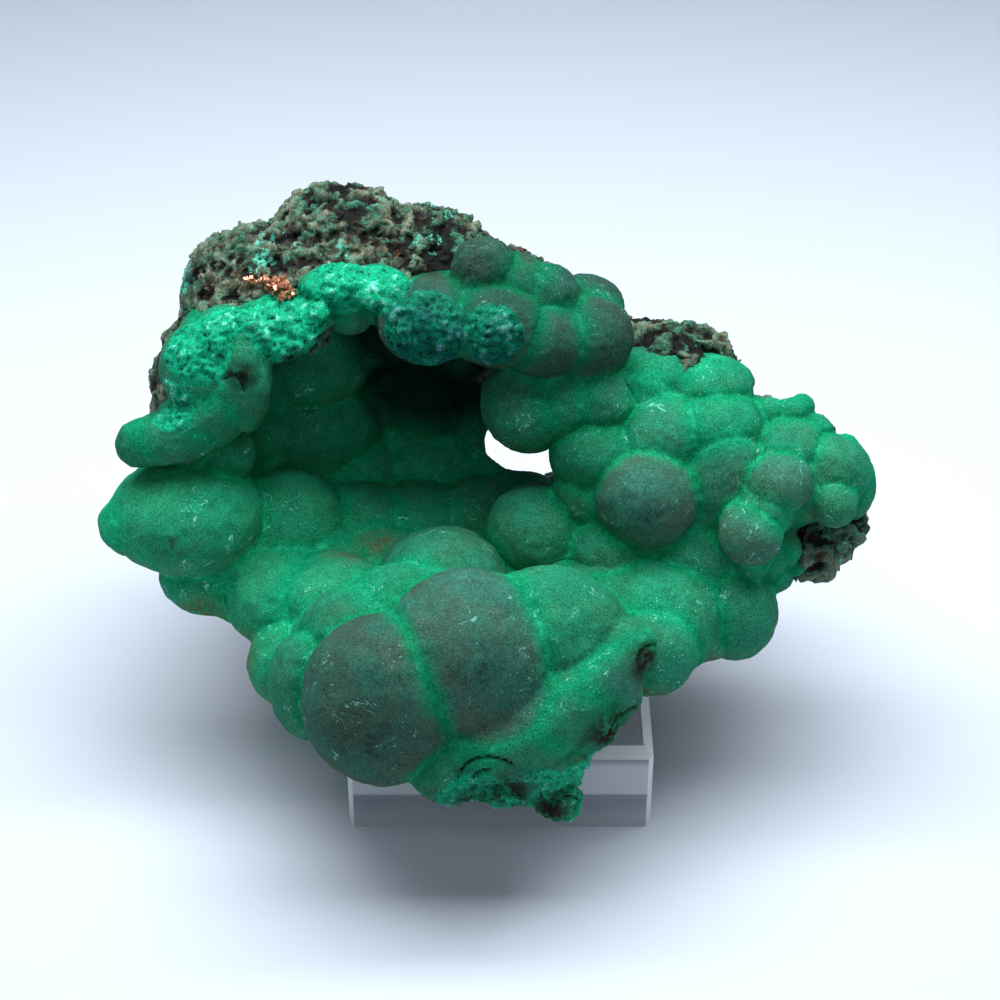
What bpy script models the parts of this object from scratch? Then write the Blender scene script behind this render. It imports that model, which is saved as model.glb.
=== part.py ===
# Malachite specimen on a clear display block.
# The stone is a hollow nodule: rough matrix rock outside, round malachite lobes
# along its rim and all through the cave that opens to the front. It rests on
# three low points of its underside. Millimetres in the tables, metres in the
# mesh; +X is the specimen's right, -Y its front, and the origin is the centre
# of the block's underside.

import math

import bmesh
import bpy
from mathutils import Matrix

MM = 0.001
BLOCK_SIDE = 76.2
BLOCK_HEIGHT = 25.4
BLOCK_CHAMFER = 2.5
BLOCK_CORNER = 1.2
TOUCH_GAP = 0.3
STONE_VOXEL = 2.0
STONE_KEEP = 0.075
CRYSTAL_VOXEL = 0.45
CRYSTAL_KEEP = 0.25
LOBE_DETAIL = 3
CRYSTAL_DETAIL = 2
POCKET_MARGIN = 0.6

# Each lobe: centre x, y, z above the block's underside, then its three half sizes.
FRONT_LOBES = {
    "big ball": (-28, -48, 51, 19, 18, 22),
    "ball's left shoulder": (-46, -37, 46, 10, 10, 15),
    "ball's back": (-33, -30, 54, 16, 14, 15),
    "crowned dome": (-7, -40, 59, 22, 20, 20),
    "dome's right swell": (11, -34, 59, 20, 17, 17),
    "dome's low swell": (10, -42, 48, 16, 13, 13),
    "dome's foot": (-8, -48, 42, 14, 12, 10),
    "back hump": (-14, -11, 57, 16, 16, 14),
    "ridge": (-24, -26, 56, 17, 15, 15),
    "lip, left": (-12, -57, 38, 10, 9, 8),
    "lip, middle": (7, -55, 40, 14, 9, 8),
    "lip, right": (24, -45, 52, 10, 9, 12),
    "lip, fold": (18, -50, 48, 11, 9, 10),
    "lip, under": (4, -54, 33, 16, 9, 6),
    "lip knob": (14, -59, 29, 6, 5, 5),
}
LEFT_LOBES = {
    "side, outer": (-55, -6, 49, 15, 14, 12),
    "side, inner": (-41, -11, 53, 14, 13, 10),
    "side, low": (-39, -24, 47, 13, 13, 13),
    "side, low left": (-52, -22, 41, 11, 11, 11),
    "rim lobe": (-74, 2, 50, 13, 12, 10),
    "rim lobe, middle": (-64, -1, 48, 12, 11, 9),
    "far lobe": (-79, 6, 66, 20, 18, 14),
    "far lobe's tip": (-93, 3, 65, 8, 9, 7),
    "far lobe's neighbour": (-55, 13, 56, 16, 15, 15),
}
CAVE_LOBES = {
    "floor, left": (-39, 19, 53, 16, 15, 10),
    "floor, right": (-21, 22, 50, 15, 14, 11),
    "floor, front": (-30, 4, 49, 16, 12, 11),
    "floor, window": (-6, 24, 50, 12, 14, 11),
    "floor, left front": (-46, 4, 50, 14, 11, 9),
    "back wall, left": (-50, 41, 69, 18, 15, 15),
    "back wall, upper left": (-50, 44, 88, 17, 14, 12),
    "side wall": (-71, 31, 62, 14, 13, 11),
    "back wall, low": (-26, 53, 52, 12, 11, 16),
    "column": (-15, 50, 62, 7, 9, 18),
    "column, last": (-7, 50, 62, 7, 9, 16),
    "sill": (4, 34, 46, 15, 13, 11),
    "floor, back": (-20, 42, 54, 15, 12, 11),
    "floor, back left": (-42, 38, 56, 16, 13, 12),
    "floor, back right": (-7, 43, 50, 10, 10, 10),
    "column, far": (-10, 59, 54, 9, 9, 16),
}
ROOF_LOBES = {
    "drape tip": (-89, 7, 87, 6, 6, 5),
    "drape, low": (-79, 8, 90, 11, 9, 5),
    "drape, inner": (-70, 9, 95, 8, 8, 9),
    "drape, side": (-62, 10, 103, 6, 8, 14),
    "drape": (-72, 16, 103, 12, 12, 12),
    "drape, upper": (-66, 18, 112, 10, 10, 6),
    "torn rim": (-52, 20, 116, 12, 9, 5),
    "rim bubble": (-37, 24, 114, 6, 6, 5),
    "arch": (-39, 23, 123, 10, 7, 4),
    "arch, right": (-30, 24, 122, 8, 8, 4),
    "roof edge, left": (-17, 17, 116, 13, 12, 10),
    "roof edge, middle": (-1, 15, 116, 12, 12, 10),
    "roof edge, right": (11, 16, 112, 11, 11, 9),
    "roof edge, end": (22, 20, 110, 11, 11, 10),
    "roof knob": (-4, 25, 126, 8, 8, 8),
    "roof knob, second": (4, 25, 122, 9, 9, 7),
    "roof knob, third": (11, 24, 119, 9, 9, 8),
    "roof knob, last": (21, 30, 112, 10, 10, 8),
    "hanging lobe": (7, 17, 92, 12, 13, 12),
    "hanging lobe, middle": (16, 16, 94, 11, 11, 10),
    "hanging lobe, right": (25, 15, 94, 10, 10, 10),
}
RIGHT_LOBES = {
    "neck": (37, 19, 101, 10, 9, 5),
    "neck, right": (53, 19, 98, 10, 9, 5),
    "neck, low": (36, 17, 95, 10, 8, 6),
    "wall, first": (25, 9, 83, 13, 12, 11),
    "wall, second": (40, 9, 88, 12, 11, 10),
    "wall, third": (54, 10, 88, 12, 11, 11),
    "dome's halo": (37, 4, 73, 16, 11, 15),
    "wall dome": (36, -3, 77, 13, 11, 13),
    "wall, long": (56, 1, 75, 12, 9, 18),
    "outer ball": (68, -6, 84, 8, 8, 7),
    "outer ball, middle": (65, -9, 78, 7, 7, 7),
    "outer ball, low": (61, -13, 74, 8, 8, 8),
    "shelf": (71, 7, 87, 9, 9, 6),
    "bud": (67, 13, 92, 4, 4, 4),
    "bud, second": (72, 13, 92, 4, 4, 4),
    "bud, third": (79, 11, 88, 4, 4, 4),
    "bud, fourth": (75, 15, 93, 3, 3, 3),
    "bud, last": (86, 9, 85, 3, 3, 3),
    "nodule": (62, -13, 65, 4, 4, 4),
    "nodule, second": (67, -10, 64, 4, 4, 4),
    "nodule, third": (72, -8, 65, 3, 3, 4),
    "nodule, low": (69, -9, 58, 4, 4, 4),
    "nodule, last": (74, -5, 59, 3, 4, 3),
    "end lobe": (82, 4, 81, 10, 9, 9),
    "end ball": (82, -5, 77, 6, 6, 6),
    "end edge": (88, 6, 74, 6, 7, 10),
    "inner wall": (10, 4, 62, 14, 13, 12),
    "inner wall, upper": (23, 6, 73, 10, 10, 11),
    "inner wall, right": (28, -4, 63, 11, 10, 8),
    "shoulder": (49, -3, 56, 17, 13, 15),
    "shoulder, front": (38, -18, 51, 18, 15, 14),
    "corner": (59, -15, 50, 10, 10, 12),
    "shoulder, low": (36, -30, 51, 12, 11, 11),
}
# The thick crust under the lobes of the bowl, the wall and the roof.
CRUST_BODY = {
    "bowl": (-12, -8, 46, 44, 40, 13),
    "bowl, left": (-54, 8, 50, 26, 16, 12),
    "bowl, right": (34, -6, 52, 30, 24, 14),
    "shoulder body": (45, -10, 48, 22, 16, 12),
    "cave floor": (-30, 12, 47, 34, 26, 11),
    "wall": (40, 12, 76, 32, 11, 18),
    "wall, end": (72, 2, 76, 16, 8, 10),
    "left end": (-76, 20, 78, 12, 14, 18),
    "roof, left": (-62, 26, 108, 18, 12, 8),
    "roof": (-14, 26, 114, 34, 14, 8),
    "neck": (40, 22, 96, 24, 10, 8),
}
# The rock that carries the crust, before the cave is taken out of it.
ROCK_MASSES = {
    "peak": (-40, 50, 112, 20, 22, 21),
    "peak, left": (-61, 42, 108, 18, 22, 18),
    "peak, right": (-20, 48, 108, 22, 22, 19),
    "roof slab": (-42, 34, 111, 30, 17, 13),
    "slope": (2, 42, 102, 20, 20, 16),
    "slope, right": (18, 40, 90, 18, 20, 16),
    "back": (-36, 64, 84, 38, 15, 34),
    "back, right": (36, 46, 76, 24, 18, 22),
    "left end": (-74, 36, 80, 15, 24, 26),
    "right crest": (44, 28, 92, 17, 14, 15),
    "right core": (44, 28, 72, 26, 18, 20),
    "back, left": (-60, 48, 62, 20, 18, 20),
    "right end": (66, 18, 70, 24, 19, 20),
    "right end, low": (78, 3, 62, 13, 13, 12),
    "right end, tip": (86, 5, 64, 8, 9, 10),
    "belly": (-4, 14, 42, 44, 40, 15),
    "belly, left": (-50, 18, 45, 30, 28, 14),
    "belly, back": (-20, 54, 50, 40, 20, 18),
    "belly, front": (-4, -30, 40, 32, 24, 12),
    "belly, right": (46, 6, 52, 26, 24, 18),
    "foot, front left": (-18, -20, 31, 12, 10, 6),
    "foot, front right": (20, -18, 31, 12, 10, 6),
    "foot, back": (0, 26, 31, 14, 10, 6),
}
CAVE = {
    "hall": (-29, 24, 85, 38, 30, 27),
    "mouth": (-28, -6, 92, 34, 30, 22),
    "right aisle": (4, 26, 72, 18, 22, 20),
}
# Rolls: a row of round lobes along a path of x, y, z and half size.
ROLLS = {
    "lip": [
        (-14, -57, 38, 7),
        (-2, -57, 44, 8),
        (8, -55, 48, 9),
        (16, -51, 53, 9),
        (23, -46, 57, 8),
        (30, -39, 60, 7),
    ],
    "drape": [(-89, 7, 87, 6), (-78, 6, 90, 7), (-69, 8, 96, 7), (-62, 9, 104, 7), (-62, 13, 113, 6)],
    "torn flap": [
        (-61, 13, 118, 3),
        (-58, 12, 115, 3),
        (-53, 11, 112, 3),
        (-48, 12, 113, 3),
        (-44, 15, 119, 3),
    ],
}
ROLL_STEP = 2.0

LINING = (-29, 25, 82, 40, 34, 25)
LINING_LOBES = 90
LINING_SIZE = 12
# The see-through gap low in the cave's back: it slopes down and away, then opens out level.
WINDOW = (6, 62, 50, 13, 38, 10)
WINDOW_TILT = 34.6
WINDOW_OUTSIDE = (6, 68, 58, 9, 30, 9)
# Native copper, a crust of small crystals seated in the rock above the torn rim.
CRYSTALS = {
    "bed, left": (-57, 22.5, 118.5, 3.4, 2.4, 2.0),
    "bed, right": (-52.5, 22.5, 118.5, 3.4, 2.6, 2.2),
    "grain 1": (-59.6, 21.6, 119.6, 1.5, 1.3, 1.4),
    "grain 2": (-57.4, 21.0, 120.0, 1.7, 1.4, 1.5),
    "grain 3": (-55.2, 21.2, 119.7, 1.5, 1.5, 1.5),
    "grain 4": (-53.0, 20.8, 120.3, 1.8, 1.5, 1.7),
    "grain 5": (-50.8, 21.6, 120.2, 1.7, 1.5, 1.5),
    "grain 6": (-52.2, 23.6, 120.6, 1.6, 1.5, 1.4),
    "grain 7": (-55.6, 23.6, 120.2, 1.6, 1.5, 1.3),
}


def rollLobes():
    lobes = {}
    for name, path in ROLLS.items():
        for start, end in zip(path, path[1:]):
            steps = math.ceil(math.dist(start[:3], end[:3]) / ROLL_STEP)
            for step in range(steps + 1):
                share = step / steps
                x, y, z, half = (a + (b - a) * share for a, b in zip(start, end))
                lobes[f"{name} {len(lobes)}"] = (x, y, z, half, half, half)
    return lobes


def liningLobes():
    middleX, middleY, middleZ, halfX, halfY, halfZ = LINING
    lobes = {}
    for count in range(LINING_LOBES):
        up = 1 - (2 * count + 1) / LINING_LOBES
        turn = count * math.pi * (3 - math.sqrt(5))
        flat = math.sqrt(1 - up * up)
        across = flat * math.cos(turn)
        away = flat * math.sin(turn)
        openFront = away < 0.15 or (up > 0.3 and away < 0.6)
        underFloor = up < -0.62
        overWindow = across > 0.3 and up < 0.35
        if openFront or underFloor or overWindow:
            continue
        size = LINING_SIZE * (1 + 0.25 * math.sin(count * 2.4))
        lobes[f"lining {count}"] = (
            middleX + halfX * across,
            middleY + halfY * away,
            middleZ + halfZ * up,
            size,
            size,
            size,
        )
    return lobes


def clearScene():
    for old in list(bpy.data.objects):
        bpy.data.objects.remove(old, do_unlink=True)


def newCollection(name):
    group = bpy.data.collections.new(name)
    bpy.context.scene.collection.children.link(group)
    return group


def plainMaterial(name, colour, roughness, metallic=0.0):
    material = bpy.data.materials.new(name)
    material.use_nodes = True
    shader = material.node_tree.nodes["Principled BSDF"]
    shader.inputs["Base Color"].default_value = (*colour, 1.0)
    shader.inputs["Roughness"].default_value = roughness
    shader.inputs["Metallic"].default_value = metallic
    return material


def addBall(mesh, size, detail, grow=0.0, tilt=0.0):
    x, y, z, halfX, halfY, halfZ = size
    place = Matrix.Translation((x * MM, y * MM, z * MM))
    turn = Matrix.Rotation(math.radians(tilt), 4, "X")
    stretch = Matrix.Diagonal(((halfX + grow) * MM, (halfY + grow) * MM, (halfZ + grow) * MM, 1.0))
    bmesh.ops.create_icosphere(mesh, subdivisions=detail, radius=1.0, matrix=place @ turn @ stretch)


def addBalls(mesh, table, detail, grow=0.0):
    for size in table.values():
        addBall(mesh, size, detail, grow)


def objectFrom(mesh, name, group):
    data = bpy.data.meshes.new(name)
    mesh.to_mesh(data)
    mesh.free()
    made = bpy.data.objects.new(name, data)
    group.objects.link(made)
    return made


def ballsObject(name, tables, group, detail=LOBE_DETAIL, grow=0.0):
    mesh = bmesh.new()
    for table in tables:
        addBalls(mesh, table, detail, grow)
    return objectFrom(mesh, name, group)


def boxObject(name, group, side, bottom, top):
    mesh = bmesh.new()
    place = Matrix.Translation((0, 0, (bottom + top) / 2 * MM))
    stretch = Matrix.Diagonal((side * MM, side * MM, (top - bottom) * MM, 1.0))
    bmesh.ops.create_cube(mesh, size=1.0, matrix=place @ stretch)
    return objectFrom(mesh, name, group)


def remesh(target, voxel):
    step = target.modifiers.new("Remesh", "REMESH")
    step.mode = "VOXEL"
    step.voxel_size = voxel * MM


def decimate(target, keep):
    step = target.modifiers.new("Decimate", "DECIMATE")
    step.ratio = keep


def cut(target, cutter):
    step = target.modifiers.new("Cut", "BOOLEAN")
    step.operation = "DIFFERENCE"
    step.object = cutter
    cutter.hide_render = True
    cutter.display_type = "WIRE"


def settle(target):
    graph = bpy.context.evaluated_depsgraph_get()
    settled = bpy.data.meshes.new_from_object(target.evaluated_get(graph))
    target.modifiers.clear()
    target.data = settled


def buildRock(group, cutters):
    """The rock masses as one body, hollowed by the cave."""
    rock = ballsObject("rock", [ROCK_MASSES], group)
    remesh(rock, STONE_VOXEL)
    cave = ballsObject("cave", [CAVE], cutters)
    remesh(cave, STONE_VOXEL)
    cut(rock, cave)
    settle(rock)
    return rock


def buildStone(group, cutters):
    rock = buildRock(group, cutters)
    mesh = bmesh.new()
    mesh.from_mesh(rock.data)
    bpy.data.objects.remove(rock, do_unlink=True)
    crust = [FRONT_LOBES, LEFT_LOBES, CAVE_LOBES, ROOF_LOBES, RIGHT_LOBES, CRUST_BODY, rollLobes(), liningLobes()]
    for table in crust:
        addBalls(mesh, table, LOBE_DETAIL)
    stone = objectFrom(mesh, "malachite_specimen", group)
    remesh(stone, STONE_VOXEL)
    decimate(stone, STONE_KEEP)

    window = bmesh.new()
    addBall(window, WINDOW, LOBE_DETAIL, tilt=-WINDOW_TILT)
    cut(stone, objectFrom(window, "window", cutters))
    outside = bmesh.new()
    addBall(outside, WINDOW_OUTSIDE, LOBE_DETAIL)
    cut(stone, objectFrom(outside, "window outside", cutters))
    cut(stone, ballsObject("crystal pocket", [CRYSTALS], cutters, CRYSTAL_DETAIL, POCKET_MARGIN))
    remesh(cutters.objects["crystal pocket"], CRYSTAL_VOXEL)
    side = BLOCK_SIDE + 2 * TOUCH_GAP
    cut(stone, boxObject("block clearance", cutters, side, -TOUCH_GAP, BLOCK_HEIGHT + TOUCH_GAP))
    stone.data.materials.append(plainMaterial("malachite", (0.012, 0.16, 0.066), 0.75))
    return stone


def buildCrystals(group):
    crystals = ballsObject("copper_crystals", [CRYSTALS], group, CRYSTAL_DETAIL)
    remesh(crystals, CRYSTAL_VOXEL)
    decimate(crystals, CRYSTAL_KEEP)
    crystals.data.materials.append(plainMaterial("native copper", (0.62, 0.3, 0.19), 0.35, 0.9))
    return crystals


def buildBlock(group):
    block = boxObject("display_block", group, BLOCK_SIDE, 0, BLOCK_HEIGHT)
    weight = block.data.attributes.new("bevel_weight_edge", "FLOAT", "EDGE")
    for edge in block.data.edges:
        ends = [block.data.vertices[corner].co for corner in edge.vertices]
        atTop = all(end.z > BLOCK_HEIGHT * MM / 2 for end in ends)
        upright = abs(ends[0].z - ends[1].z) > BLOCK_HEIGHT * MM / 2
        weight.data[edge.index].value = 1.0 if atTop else BLOCK_CORNER / BLOCK_CHAMFER if upright else 0.0
    chamfer = block.modifiers.new("Chamfer", "BEVEL")
    chamfer.limit_method = "WEIGHT"
    chamfer.width = BLOCK_CHAMFER * MM
    chamfer.segments = 1
    block.data.materials.append(plainMaterial("clear acrylic", (0.86, 0.9, 0.95), 0.05))
    return block


clearScene()
parts = newCollection("malachite_specimen")
cutters = newCollection("cutters")
buildStone(parts, cutters)
buildCrystals(parts)
buildBlock(parts)
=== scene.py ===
import math

import bpy
import numpy as np
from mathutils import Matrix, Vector


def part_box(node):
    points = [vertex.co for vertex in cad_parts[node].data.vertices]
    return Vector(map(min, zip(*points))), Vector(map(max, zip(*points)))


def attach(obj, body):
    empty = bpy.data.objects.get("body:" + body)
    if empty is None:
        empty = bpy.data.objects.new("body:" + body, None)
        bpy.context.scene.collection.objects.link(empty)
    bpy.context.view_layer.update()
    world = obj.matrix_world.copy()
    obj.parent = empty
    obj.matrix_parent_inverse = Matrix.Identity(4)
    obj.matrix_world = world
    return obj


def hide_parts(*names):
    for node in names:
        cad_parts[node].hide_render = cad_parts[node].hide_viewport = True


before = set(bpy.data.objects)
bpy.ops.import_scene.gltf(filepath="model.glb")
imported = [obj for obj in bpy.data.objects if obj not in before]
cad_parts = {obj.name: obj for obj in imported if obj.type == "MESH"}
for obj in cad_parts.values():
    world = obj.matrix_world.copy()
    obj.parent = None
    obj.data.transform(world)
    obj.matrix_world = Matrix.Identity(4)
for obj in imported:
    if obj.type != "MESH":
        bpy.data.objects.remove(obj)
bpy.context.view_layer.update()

mm = 0.001
blockLow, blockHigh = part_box("display_block")
# the middle of the block's foot
home = Vector(((blockLow.x + blockHigh.x) / 2, (blockLow.y + blockHigh.y) / 2, blockLow.z))


def nothingSelected():
    if bpy.context.object and bpy.context.object.mode != "OBJECT":
        bpy.ops.object.mode_set(mode="OBJECT")
    bpy.ops.object.select_all(action="DESELECT")


def only(piece):
    nothingSelected()
    piece.select_set(True)
    bpy.context.view_layer.objects.active = piece


def settle(piece):
    only(piece)
    bpy.ops.object.transform_apply(location=True, rotation=True, scale=True)


def modify(piece, kind, **values):
    step = piece.modifiers.new(kind.title(), kind)
    for name, value in values.items():
        setattr(step, name, value)
    only(piece)
    bpy.ops.object.modifier_apply(modifier=step.name)


def remesh(piece, grid):
    modify(piece, "REMESH", mode="VOXEL", voxel_size=grid * mm)


def swell(piece, height, group=""):
    modify(piece, "DISPLACE", vertex_group=group, strength=height * mm, mid_level=0.0)


def joined(pieces, name):
    nothingSelected()
    for piece in pieces:
        piece.select_set(True)
    bpy.context.view_layer.objects.active = pieces[0]
    if len(pieces) > 1:
        bpy.ops.object.join()
    whole = bpy.context.object
    whole.name = name
    whole.data.name = name
    settle(whole)
    return whole


def placeOf(x, y, z):
    return home + Vector((x, y, z)) * mm


smallBall = 8  # mm, half size up to which a ball has fewer faces


def ball(size, detail=5, tilt=0.0, grow=0.0):
    halves = size[3:6]
    bpy.ops.mesh.primitive_ico_sphere_add(
        subdivisions=detail if max(halves) > smallBall else detail - 1,
        radius=1.0,
        location=placeOf(*size[:3]),
        rotation=(math.radians(tilt), 0, 0),
        scale=[(half + grow) * mm for half in halves],
    )
    return bpy.context.object


# one wide sheet under the specimen, and the light of the room around it
stageLook = {
    "width": 10.0,
    "paper": (0.66, 0.73, 0.84, 1),
    "paperRoughness": 0.9,
    "paperShine": 0.1,
    "room": (0.8, 0.88, 1.0, 1),
    "roomStrength": 0.12,
}


def paperFloor():
    bpy.ops.mesh.primitive_plane_add(size=stageLook["width"])
    sheet = bpy.context.object
    sheet.name = "paperFloor"
    paper = bpy.data.materials.new("palePaper")
    paper.use_nodes = True
    shader = paper.node_tree.nodes["Principled BSDF"]
    shader.inputs["Base Color"].default_value = stageLook["paper"]
    shader.inputs["Roughness"].default_value = stageLook["paperRoughness"]
    shader.inputs["Specular IOR Level"].default_value = stageLook["paperShine"]
    sheet.data.materials.append(paper)


# the camera looks down on the specimen from the front: metres, degrees, and millimetres for the lens
cameraSet = {"distance": 0.545, "pitch": 36.0, "aimHeight": 0.0747, "lens": 79.2}


def addCamera():
    c = cameraSet
    slope = math.radians(c["pitch"])
    aim = home + Vector((0, 0, c["aimHeight"]))
    lens = bpy.data.cameras.new("viewCamera")
    lens.lens = c["lens"]
    lens.sensor_width = 36
    lens.clip_start = 0.01
    viewer = bpy.data.objects.new("viewCamera", lens)
    viewer.location = aim + Vector((0, -math.cos(slope), math.sin(slope))) * c["distance"]
    viewer.rotation_euler = (math.pi / 2 - slope, 0, 0)
    bpy.context.scene.collection.objects.link(viewer)
    bpy.context.scene.camera = viewer


# softboxes: where each stands, where it points, its size and its power, in metres and watts
softboxes = {
    "top": {"at": (0.0, 0.03, 0.66), "to": (0, 0.03, 0), "size": (0.9, 0.3), "watts": 4.3},
    "back": {"at": (0.0, 0.17, 0.56), "to": (0, -0.02, 0.03), "size": (0.9, 0.1), "watts": 3.2},
    "front": {"at": (0.0, -0.5, 0.5), "to": (0, 0, 0.08), "size": (0.8, 0.3), "watts": 0.7},
}
softboxColour = (0.97, 0.985, 1)


def addLights():
    for name, s in softboxes.items():
        lamp = bpy.data.lights.new(name, "AREA")
        lamp.shape = "RECTANGLE"
        lamp.size, lamp.size_y = s["size"]
        lamp.energy = s["watts"]
        lamp.color = softboxColour
        lampObject = bpy.data.objects.new(name, lamp)
        lampObject.location = s["at"]
        lampObject.rotation_euler = (Vector(s["to"]) - Vector(s["at"])).to_track_quat("-Z", "Y").to_euler()
        bpy.context.scene.collection.objects.link(lampObject)
    room = bpy.data.worlds.new("room")
    room.use_nodes = True
    backdrop = room.node_tree.nodes["Background"]
    backdrop.inputs["Color"].default_value = stageLook["room"]
    backdrop.inputs["Strength"].default_value = stageLook["roomStrength"]
    bpy.context.scene.world = room
    bpy.context.scene.view_settings.view_transform = "Standard"
    bpy.context.scene.view_settings.look = "None"


# every lobe: its middle from the middle of the block's foot, then its three half sizes, all in millimetres
frontLobes = {
    "big ball": (-28, -48, 51, 19, 18, 22),
    "ball's left shoulder": (-46, -37, 46, 10, 10, 15),
    "ball's back": (-33, -30, 54, 16, 14, 15),
    "crowned dome": (-7, -40, 59, 22, 20, 20),
    "dome's right swell": (11, -34, 59, 20, 17, 17),
    "dome's low swell": (10, -42, 48, 16, 13, 13),
    "dome's foot": (-8, -48, 42, 14, 12, 10),
    "back hump": (-14, -11, 57, 16, 16, 14),
    "ridge": (-24, -26, 56, 17, 15, 15),
    "lip, left": (-12, -57, 38, 10, 9, 8),
    "lip, middle": (7, -55, 40, 14, 9, 8),
    "lip, right": (24, -45, 52, 10, 9, 12),
    "lip, fold": (18, -50, 48, 11, 9, 10),
    "lip, under": (4, -54, 33, 16, 9, 6),
    "lip knob": (14, -59, 29, 6, 5, 5),
}
leftLobes = {
    "side, outer": (-55, -6, 49, 15, 14, 12),
    "side, inner": (-41, -11, 53, 14, 13, 10),
    "side, low": (-39, -24, 47, 13, 13, 13),
    "side, low left": (-52, -22, 41, 11, 11, 11),
    "rim lobe": (-74, 2, 50, 13, 12, 10),
    "rim lobe, middle": (-64, -1, 48, 12, 11, 9),
    "far lobe": (-79, 6, 66, 20, 18, 14),
    "far lobe's tip": (-93, 3, 65, 8, 9, 7),
    "far lobe's neighbour": (-55, 13, 56, 16, 15, 15),
}
caveLobes = {
    "floor, left": (-39, 19, 53, 16, 15, 10),
    "floor, right": (-21, 22, 50, 15, 14, 11),
    "floor, front": (-30, 4, 49, 16, 12, 11),
    "floor, window": (-6, 24, 50, 12, 14, 11),
    "floor, left front": (-46, 4, 50, 14, 11, 9),
    "back wall, left": (-50, 41, 69, 18, 15, 15),
    "back wall, upper left": (-50, 44, 88, 17, 14, 12),
    "side wall": (-71, 31, 62, 14, 13, 11),
    "underShade the drape": (-69, 14, 79, 8, 8, 9),
    "back wall, low": (-26, 53, 52, 12, 11, 16),
    "column": (-15, 50, 62, 7, 9, 18),
    "column, last": (-7, 50, 62, 7, 9, 16),
    "sill": (4, 34, 46, 15, 13, 11),
    "floor, back": (-20, 42, 54, 15, 12, 11),
    "floor, back left": (-42, 38, 56, 16, 13, 12),
    "floor, back right": (-7, 43, 50, 10, 10, 10),
    "column, far": (-10, 59, 54, 9, 9, 16),
}
roofLobes = {
    "drape tip": (-89, 7, 87, 6, 6, 5),
    "drape, low": (-79, 8, 90, 11, 9, 5),
    "drape, inner": (-70, 9, 95, 8, 8, 9),
    "drape, side": (-62, 10, 103, 6, 8, 14),
    "drape": (-72, 16, 103, 12, 12, 12),
    "drape, upper": (-66, 18, 112, 10, 10, 6),
    "torn rim": (-52, 20, 116, 12, 9, 5),
    "rim bubble": (-37, 24, 114, 6, 6, 5),
    "arch": (-39, 23, 123, 10, 7, 4),
    "arch, right": (-30, 24, 122, 8, 8, 4),
    "roof edge, left": (-17, 17, 116, 13, 12, 10),
    "roof edge, middle": (-1, 15, 116, 12, 12, 10),
    "roof edge, right": (11, 16, 112, 11, 11, 9),
    "roof edge, end": (22, 20, 110, 11, 11, 10),
    "roof knob": (-4, 25, 126, 8, 8, 8),
    "roof knob, second": (4, 25, 122, 9, 9, 7),
    "roof knob, third": (11, 24, 119, 9, 9, 8),
    "roof knob, last": (21, 30, 112, 10, 10, 8),
    "hanging lobe": (7, 17, 92, 12, 13, 12),
    "hanging lobe, middle": (16, 16, 94, 11, 11, 10),
    "hanging lobe, right": (25, 15, 94, 10, 10, 10),
}
rightLobes = {
    "neck": (37, 19, 101, 10, 9, 5),
    "neck, right": (53, 19, 98, 10, 9, 5),
    "neck, low": (36, 17, 95, 10, 8, 6),
    "wall, first": (25, 9, 83, 13, 12, 11),
    "wall, second": (40, 9, 88, 12, 11, 10),
    "wall, third": (54, 10, 88, 12, 11, 11),
    "dome's halo": (37, 4, 73, 16, 11, 15),
    "wall dome": (36, -3, 77, 13, 11, 13),
    "wall, long": (56, 1, 75, 12, 9, 18),
    "outer ball": (68, -6, 84, 8, 8, 7),
    "outer ball, middle": (65, -9, 78, 7, 7, 7),
    "outer ball, low": (61, -13, 74, 8, 8, 8),
    "shelf": (71, 7, 87, 9, 9, 6),
    "bud": (67, 13, 92, 4, 4, 4),
    "bud, second": (72, 13, 92, 4, 4, 4),
    "bud, third": (79, 11, 88, 4, 4, 4),
    "bud, fourth": (75, 15, 93, 3, 3, 3),
    "bud, last": (86, 9, 85, 3, 3, 3),
    "nodule": (62, -13, 65, 4, 4, 4),
    "nodule, second": (67, -10, 64, 4, 4, 4),
    "nodule, third": (72, -8, 65, 3, 3, 4),
    "nodule, low": (69, -9, 58, 4, 4, 4),
    "nodule, last": (74, -5, 59, 3, 4, 3),
    "end lobe": (82, 4, 81, 10, 9, 9),
    "end ball": (82, -5, 77, 6, 6, 6),
    "end edge": (88, 6, 74, 6, 7, 10),
    "inner wall": (10, 4, 62, 14, 13, 12),
    "inner wall, upper": (23, 6, 73, 10, 10, 11),
    "inner wall, right": (28, -4, 63, 11, 10, 8),
    "shoulder": (49, -3, 56, 17, 13, 15),
    "shoulder, front": (38, -18, 51, 18, 15, 14),
    "corner": (59, -15, 50, 10, 10, 12),
    "shoulder, low": (36, -30, 51, 12, 11, 11),
}

# thick crust under the lobes, in the same order of numbers
crustBody = {
    "bowl": (-12, -8, 46, 44, 40, 13),
    "bowl, left": (-54, 8, 50, 26, 16, 12),
    "bowl, right": (34, -6, 52, 30, 24, 14),
    "shoulder body": (45, -10, 48, 22, 16, 12),
    "cave floor": (-30, 12, 47, 34, 26, 11),
    "wall": (44, 12, 76, 28, 11, 18),
    "wall, end": (72, 2, 76, 16, 8, 10),
    "left end": (-76, 20, 78, 12, 14, 18),
    "roof, left": (-62, 26, 108, 18, 12, 8),
    "roof": (-7, 26, 115, 27, 14, 7),
    "neck": (40, 22, 96, 24, 10, 8),
}

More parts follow.
